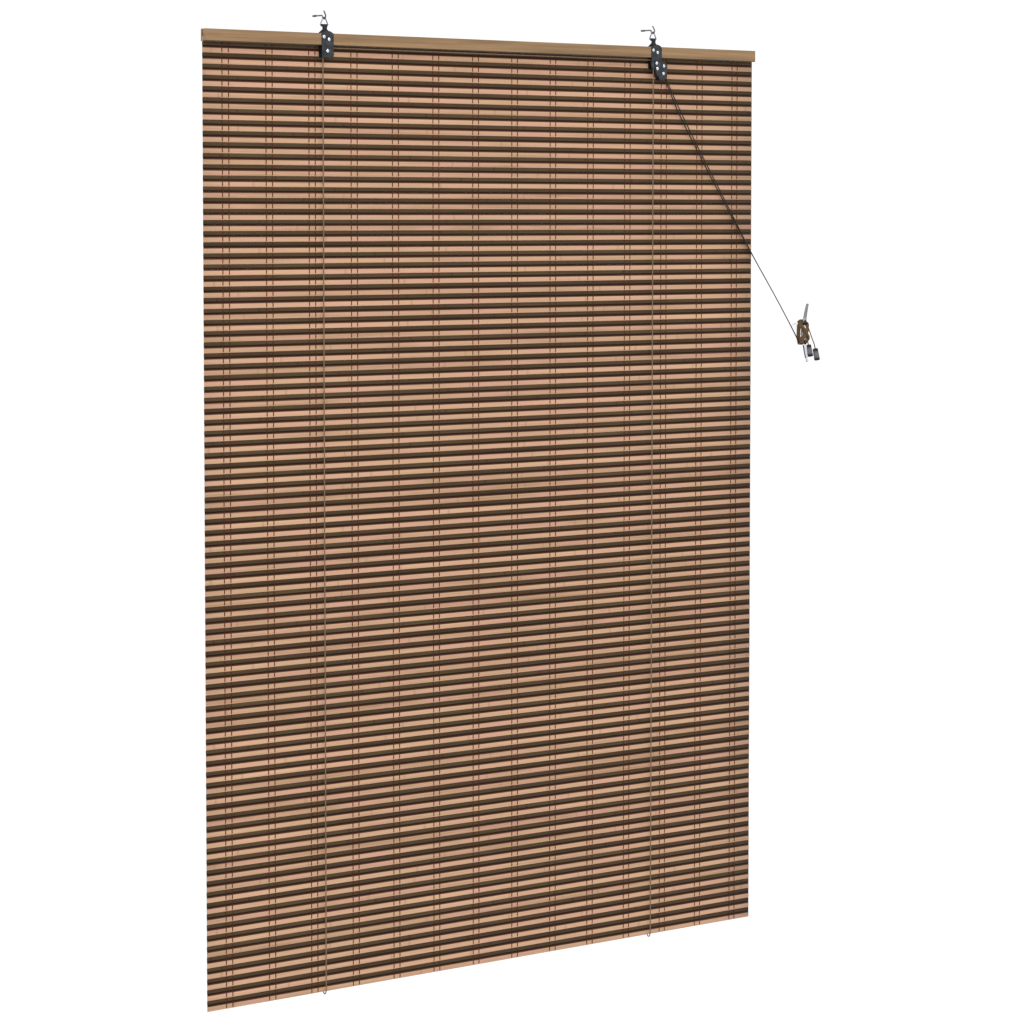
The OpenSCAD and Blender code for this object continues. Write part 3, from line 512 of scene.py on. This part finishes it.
def tube(name, points, radius, sides, material, thin=None):
    """A tube along the points, with u round it and v along it in turns of its own girth.

    It is round, or flat if thin gives a smaller radius across the first one.
    """
    count = len(points)
    normal = FLAT_START if thin else ROUND_START
    thin = thin or radius
    ring_points = []
    runs = [0.0]
    for a, b in zip(points, points[1:]):
        runs.append(runs[-1] + (b - a).length)
    for i, p in enumerate(points):
        ahead = (points[min(i + 1, count - 1)] - points[max(i - 1, 0)]).normalized()
        normal = (normal - normal.dot(ahead) * ahead).normalized()
        across = ahead.cross(normal)
        for k in range(sides):
            a = 2 * math.pi * k / sides
            ring_points.append(p + radius * math.cos(a) * normal + thin * math.sin(a) * across)
    faces = []
    uvs = []
    girth = 2 * math.pi * radius
    for i in range(count - 1):
        for k in range(sides):
            m = (k + 1) % sides
            faces.append((i * sides + k, i * sides + m, (i + 1) * sides + m, (i + 1) * sides + k))
            low, high = runs[i] / girth, runs[i + 1] / girth
            left, right = k / sides, (k + 1) / sides
            uvs += [(left, low), (right, low), (right, high), (left, high)]
    faces.append(tuple(reversed(range(sides))))
    faces.append(tuple(range((count - 1) * sides, count * sides)))
    uvs += [(0, 0)] * (2 * sides)
    piece = new_piece(name, ring_points, faces, material)
    layer = piece.data.uv_layers.new(name="UVMap")
    for loop, uv in zip(layer.data, uvs):
        loop.uv = uv
    return piece


# Turns on the cleat, in millimetres: figures of eight from the post's foot across to its head

CLEAT = Vector((731, 0, -548))
FIRST_ANGLE, LAST_ANGLE, ANGLE_STEP = 234, 1542, 6
# The first loop is round the foot, a crossing comes a quarter turn later, and so on by half turns
FOOT_ANGLE, FIRST_CROSSING, HALF_TURN = 270, 360, 180
# Degrees that a cord lies level to each side of a crossing, and degrees in which it goes back
LEVEL_ANGLE, RETURN_ANGLE = 20, 50
# Half width and half height of each loop, by turns at the foot and the head of the post
LOOPS = (
    (10.5, 21.8), (8.4, 19.7), (8.4, 19.7), (9.0, 21.8),
    (8.4, 19.7), (9.0, 21.8), (9.0, 21.8), (9.4, 23.9),
)
# How far behind the first row of loops the second one lies
ROW_BACK = 4.4
# Depth of each crossing, how far the cords lie to its sides, and how far back the loops before
# and after it lie
CROSSINGS = (
    (-30.1, 1.5, 0, 0), (-32.2, 1.5, ROW_BACK, ROW_BACK), (-30.1, 4.4, ROW_BACK, ROW_BACK),
    (-32.2, 4.4, ROW_BACK, 0), (-34.3, 1.5, 0, 0), (-31.2, 7.3, 0, ROW_BACK),
    (-29.1, 7.3, ROW_BACK, 0),
)
# Turns about the post itself, from the first loop at its head: two on the post and two over them
POST_ANGLE = 450
POST_TURNS, STEPS_PER_TURN = 4, 60
EASE_TURN = 0.25
# Half the straight side of a turn, and the sine of the angle where its round end starts
POST_STRAIGHT, POST_ROUND = 10, 0.35
INNER_R, OUTER_R, LOOP_R = 5.5, 7.6, 9.7
COIL_PITCH = 2.1


def smooth(t):
    t = min(max(t, 0.0), 1.0)
    return t * t * (3 - 2 * t)


def blended(a, b, share):
    return a + (b - a) * share


def turns_about_post(row_y, coil_y):
    """Turns from the loop at row_y, back along the post from coil_y and out, to the second row."""
    points = []
    for step in range(1, POST_TURNS * STEPS_PER_TURN):
        at = step / STEPS_PER_TURN
        left = POST_TURNS - at
        arrives, leaves = smooth(at / EASE_TURN), smooth(left / EASE_TURN)
        a = math.radians(90 - 360 * at)
        outer = smooth((at - POST_TURNS / 2) / EASE_TURN + 0.5)
        r = blended(INNER_R, OUTER_R, outer)
        r = blended(LOOP_R, r, arrives * leaves)
        y = coil_y + COIL_PITCH * min(at, left)
        y = blended(row_y + ROW_BACK, blended(row_y, y, arrives), leaves)
        z = POST_STRAIGHT * min(max(math.sin(a) / POST_ROUND, -1), 1) + r * math.sin(a)
        points.append((CLEAT.x + r * math.cos(a), y, CLEAT.z + z))
    return points


def turns_on_cleat(row_y, coil_y, side):
    """Figures of eight that lie at row_y behind the horns and cross in front of them."""
    points = []
    last = len(CROSSINGS) - 1
    for angle in range(FIRST_ANGLE, LAST_ANGLE + 1, ANGLE_STEP):
        at = min(max((angle - FOOT_ANGLE) / HALF_TURN, 0.0), last + 1.0)
        i = min(int(at), last)
        share = smooth(at - i)
        crossing_y, apart, back_before, back_after = CROSSINGS[i]
        half_w = blended(LOOPS[i][0], LOOPS[i + 1][0], share)
        half_h = blended(LOOPS[i][1], LOOPS[i + 1][1], share)
        row = row_y + blended(back_before, back_after, share)
        away = abs(angle - FIRST_CROSSING - HALF_TURN * i)
        y = blended(crossing_y, row, smooth((away - LEVEL_ANGLE) / RETURN_ANGLE))
        a = math.radians(angle)
        x = -half_w * math.sin(2 * a)
        z = half_h * math.sin(a) + side * apart * math.cos(a) ** 2
        if angle == POST_ANGLE:
            points.append((CLEAT.x + x, row_y, CLEAT.z + z))
            points += turns_about_post(row_y, coil_y)
        points.append((CLEAT.x + x, y, CLEAT.z + z))
    return metres(points)


def lift_cord(side, route):
    path = eased(metres(route), 3)
    piece = tube(f"{side}_lift_cord_braid", path, CORD_R, CORD_SIDES, LIFT_CORD)
    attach(piece, "blind")
    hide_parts(f"{side}_lift_cord")


def pull_cord(side, run, turns, tail):
    path = eased(metres(run), 2) + turns + eased(metres(tail), 2)
    piece = tube(f"{side}_pull_cord_braid", path, CORD_R, CORD_SIDES, PULL_CORD)
    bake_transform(piece)
    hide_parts(f"{side}_pull_cord", f"{side}_cord_tail", "cord_winding")


lift_cord("left", LEFT_LIFT)
lift_cord("right", RIGHT_LIFT)
pull_cord("left", LEFT_PULL, turns_on_cleat(row_y=-20.4, coil_y=-18.6, side=1), LEFT_TAIL)
pull_cord("right", RIGHT_PULL, turns_on_cleat(row_y=-22.6, coil_y=-22.8, side=-1), RIGHT_TAIL)


# Slats, each with its own tone, grain and slight unevenness

SLAT_LEN = 1200 * MM
LIGHT_SLAT_H = 9.6 * MM
DARK_SLAT_H = 7.95 * MM
SLAT_SLIT = 0.2 * MM
SLAT_T = 2.0 * MM
EDGE_DROP = 0.45 * MM
PAIR_PITCH = LIGHT_SLAT_H + DARK_SLAT_H + 2 * SLAT_SLIT
MAT_FOOT_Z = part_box("light_slats")[0].z
MAT_FRONT_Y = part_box("light_slats")[0].y
THREAD_T = 0.6 * MM
LIGHT_Y = MAT_FRONT_Y + THREAD_T / 2
DARK_Y = MAT_FRONT_Y + THREAD_T
SLAT_PAIRS = 88
SLAT_STATIONS = 13
# Height up the slat and depth behind its crown, in shares of its height and of its edge drop
SLAT_FRONT = (
    (0.0, 1.0), (0.08, 0.55), (0.25, 0.12), (0.5, 0.0), (0.75, 0.12), (0.92, 0.55), (1.0, 1.0),
)
UNEVEN = 0.03 * MM
# Each slat is drawn a little past the middle of the slits, so that no light shows through them
CLOSED = SLAT_SLIT / 2 + 0.01 * MM


def slats(name, count, first_z, height, y_front, material):
    """One piece with all the slats of a colour, each a crowned strip along X."""
    points, faces, uvs, tones = [], [], [], []
    back = [(share, SLAT_T - drop * EDGE_DROP) for share, drop in reversed(SLAT_FRONT)]
    section = [(share, drop * EDGE_DROP) for share, drop in SLAT_FRONT] + back
    ring = len(section)
    for i in range(count):
        base = len(points)
        z0 = first_z + i * PAIR_PITCH
        tone = (rng.random(), rng.random(), rng.random(), 1.0)
        for j in range(SLAT_STATIONS):
            x = SLAT_LEN * (j / (SLAT_STATIONS - 1) - 0.5)
            low = z0 - CLOSED + rng.random() * UNEVEN
            high = z0 + height + CLOSED - rng.random() * UNEVEN
            for share, depth in section:
                points.append((x, y_front + depth, low + share * (high - low)))
                tones += tone
        for j in range(SLAT_STATIONS - 1):
            for k in range(ring):
                m = (k + 1) % ring
                a, b = base + j * ring, base + (j + 1) * ring
                faces.append((a + k, b + k, b + m, a + m))
                u0, u1 = j / (SLAT_STATIONS - 1), (j + 1) / (SLAT_STATIONS - 1)
                v0, v1 = section[k][0], section[m][0]
                uvs += [(u0, v0), (u1, v0), (u1, v1), (u0, v1)]
        last = base + (SLAT_STATIONS - 1) * ring
        faces.append(tuple(base + k for k in range(ring)))
        uvs += [(0, share) for share, _ in section]
        faces.append(tuple(last + k for k in reversed(range(ring))))
        uvs += [(1, share) for share, _ in reversed(section)]
    piece = new_piece(name, points, faces, material)
    layer = piece.data.uv_layers.new(name="UVMap")
    layer.data.foreach_set("uv", [c for uv in uvs for c in uv])
    piece.data.attributes.new("tone", "FLOAT_COLOR", "POINT").data.foreach_set("color", tones)
    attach(piece, "blind")
    return piece


light = slats("light_bamboo_slats", SLAT_PAIRS + 1, MAT_FOOT_Z, LIGHT_SLAT_H, LIGHT_Y,
              LIGHT_BAMBOO)
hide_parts("light_slats")
dark = slats("dark_bamboo_slats", SLAT_PAIRS, MAT_FOOT_Z + LIGHT_SLAT_H + SLAT_SLIT, DARK_SLAT_H,
             DARK_Y, DARK_BAMBOO)
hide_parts("dark_slats")


# Warp threads: two strands at each place, which cross in every slit between the slats

THREAD_PAIRS = 14
THREAD_GAP = 12.6 * MM
THREAD_HALF_W = 0.95 * MM
THREAD_HALF_T = 0.4 * MM
THREAD_SIDES = 4
# How far a strand's middle stands off the slat's crown, and how far it sinks from there
THREAD_STAND, THREAD_SINK = THREAD_HALF_T * 0.55, 0.1 * MM
# Share of a slat's height in which a strand comes up from the slit
THREAD_RISE = 0.2
MID_Y = (LIGHT_Y + DARK_Y + SLAT_T) / 2


def thread_stops():
    """Foot, head and crown depths of every slat from the foot of the mat up."""
    stops = []
    for i in range(SLAT_PAIRS):
        z = MAT_FOOT_Z + i * PAIR_PITCH
        stops.append((z, z + LIGHT_SLAT_H, LIGHT_Y, LIGHT_Y + SLAT_T))
        z += LIGHT_SLAT_H + SLAT_SLIT
        stops.append((z, z + DARK_SLAT_H, DARK_Y, DARK_Y + SLAT_T))
    return stops


def warp_strand(x, starts_in_front):
    points = []
    in_front = starts_in_front
    for foot, head, front, back in thread_stops():
        y = front - THREAD_STAND + THREAD_SINK if in_front else back + THREAD_STAND - THREAD_SINK
        rise = (head - foot) * THREAD_RISE
        points += [(x, MID_Y, foot - SLAT_SLIT / 2), (x, y, foot + rise), (x, y, head - rise)]
        in_front = not in_front
    return [Vector(p) for p in points]


def warp_threads():
    """All strands in two pieces, one for each half of the width."""
    for half, name in enumerate(("left_warp_threads", "right_warp_threads")):
        parts = []
        for i in range(THREAD_PAIRS // 2):
            station = SLAT_LEN * ((half * THREAD_PAIRS // 2 + i + 0.5) / THREAD_PAIRS - 0.5)
            for side in (-0.5, 0.5):
                for front in (True, False):
                    path = warp_strand(station + side * THREAD_GAP, front)
                    parts.append(tube("strand", path, THREAD_HALF_W, THREAD_SIDES, THREAD,
                                      THREAD_HALF_T))
        with bpy.context.temp_override(active_object=parts[0], selected_editable_objects=parts):
            bpy.ops.object.join()
        parts[0].name = name
        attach(parts[0], "blind")
        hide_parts("warp_threads")


warp_threads()


# Screw threads on the hooks

SCREW_R = 1.6 * MM
SCREW_THREAD = 8.6 * MM
SCREW_PITCH = 1.5 * MM
SCREW_START_Y = 0.3 * MM
RIDGE_R = 0.28 * MM
RIDGE_SIDES, RIDGE_STEPS_PER_TURN = 6, 20
HOOK_X = 360 * MM


def screw_thread(side, x):
    turns = SCREW_THREAD / SCREW_PITCH
    steps = int(turns * RIDGE_STEPS_PER_TURN)
    points = []
    for i in range(steps + 1):
        a = 2 * math.pi * turns * i / steps
        y = SCREW_START_Y + SCREW_THREAD * i / steps
        points.append(Vector((x + SCREW_R * math.cos(a), y, SCREW_R * math.sin(a))))
    piece = tube(f"{side}_hook_thread", points, RIDGE_R, RIDGE_SIDES, HOOK_STEEL)
    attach(piece, "wall_side")


screw_thread("left", -HOOK_X)
screw_thread("right", HOOK_X)


# Finishes of the CAD nodes that stay in view

FINISHES = {
    "headrail": HEADRAIL,
    "clamp_batten": HEADRAIL,
    "wall_cleat": CLEAR_PLASTIC,
    "left_tassel": BLACK_PLASTIC,
    "right_tassel": BLACK_PLASTIC,
    "left_screw_hook": HOOK_STEEL,
    "right_screw_hook": HOOK_STEEL,
    "left_ring": RING_STEEL,
    "right_ring": RING_STEEL,
    "left_front_cheek": GREY_STEEL,
    "right_front_cheek": GREY_STEEL,
    "lock_frame": GREY_STEEL,
}
SLOT_FINISHES = {"dark_steel": DARK_STEEL, "bright_steel": BRIGHT_STEEL}


def dress_nodes():
    slots = {entry["node"]: entry["material_slot"] for entry in frame["record"]["subparts"]}
    for name, node in frame["nodes"].items():
        finish = FINISHES.get(name) or SLOT_FINISHES.get(slots[name])
        if finish:
            node.data.materials.clear()
            node.data.materials.append(finish)


dress_nodes()
